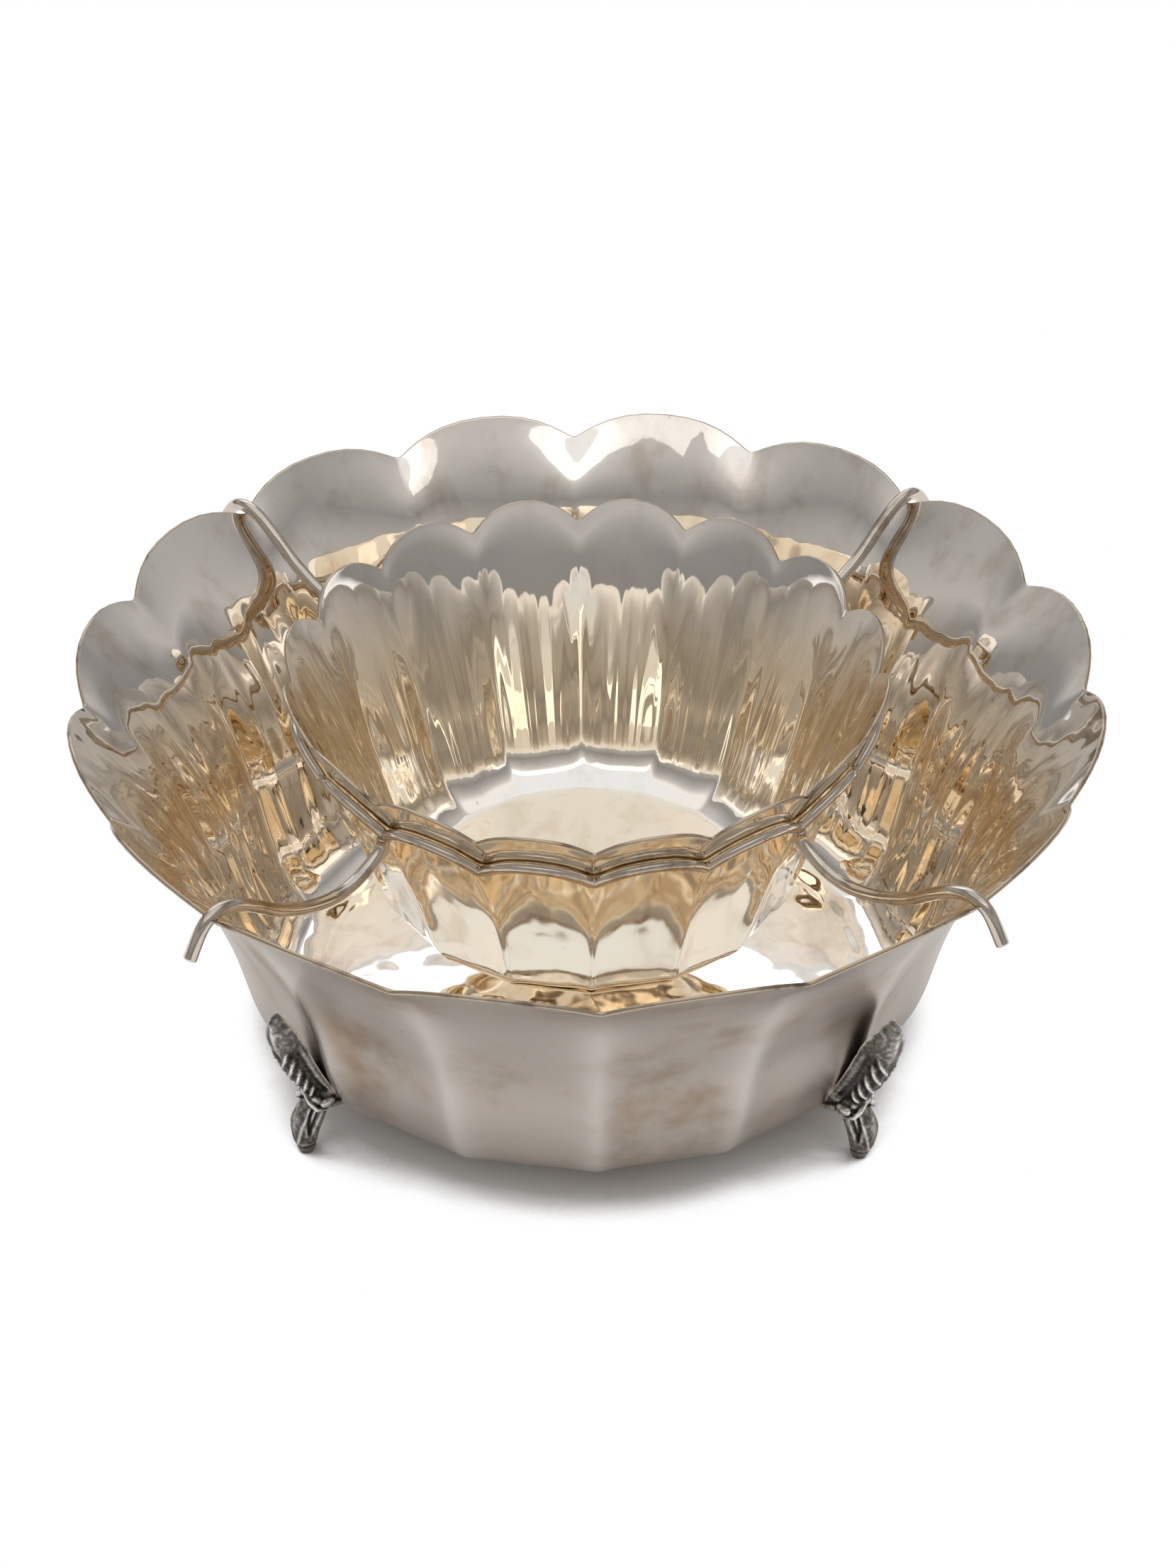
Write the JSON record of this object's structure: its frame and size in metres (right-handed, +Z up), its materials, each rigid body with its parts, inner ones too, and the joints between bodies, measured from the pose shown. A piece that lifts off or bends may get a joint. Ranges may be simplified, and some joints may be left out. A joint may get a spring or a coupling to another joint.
{
  "type": "caviar server",
  "caption": "Lobed silver ice bowl on short leaf-headed feet, with a hooked wire cradle over its rim that holds a smaller lobed caviar bowl above the ice.",
  "frame": {"origin": "on the table under the shared axis of the bowls, midway between the feet", "axes": "+Z up along the bowls' axis, -Y to the front through a notch of the ice bowl's rim, +X to the right, with the feet and the cradle's arms on the diagonals"},
  "size_m": [0.2692, 0.2692, 0.1118],
  "materials": {
    "satin_silver": "worn silver, bright inside and satin grey with faint warm tarnish outside",
    "polished_silver": "polished silver with fine wear",
    "oxidised_silver": "cast silver, darkened in the recesses and rubbed bright on the ridges"
  },
  "bodies": {
    "ice_bowl_on_feet": {"ice_bowl": "satin_silver", "foot_front_right": "oxidised_silver", "foot_back_right": "oxidised_silver", "foot_back_left": "oxidised_silver", "foot_front_left": "oxidised_silver"},
    "cradle": {"cradle_ring": "polished_silver", "cradle_arm_front_right": "polished_silver", "cradle_arm_back_right": "polished_silver", "cradle_arm_back_left": "polished_silver", "cradle_arm_front_left": "polished_silver"},
    "caviar_bowl": {"caviar_bowl": "polished_silver"}
  },
  "joints": [
    {"name": "cradle_lift", "type": "slide", "parent": "ice_bowl_on_feet", "child": "cradle", "axis": [0, 0, 1], "range_m": [0, 0.075]},
    {"name": "caviar_bowl_lift", "type": "slide", "parent": "cradle", "child": "caviar_bowl", "axis": [0, 0, 1], "range_m": [0, 0.07]}
  ]
}
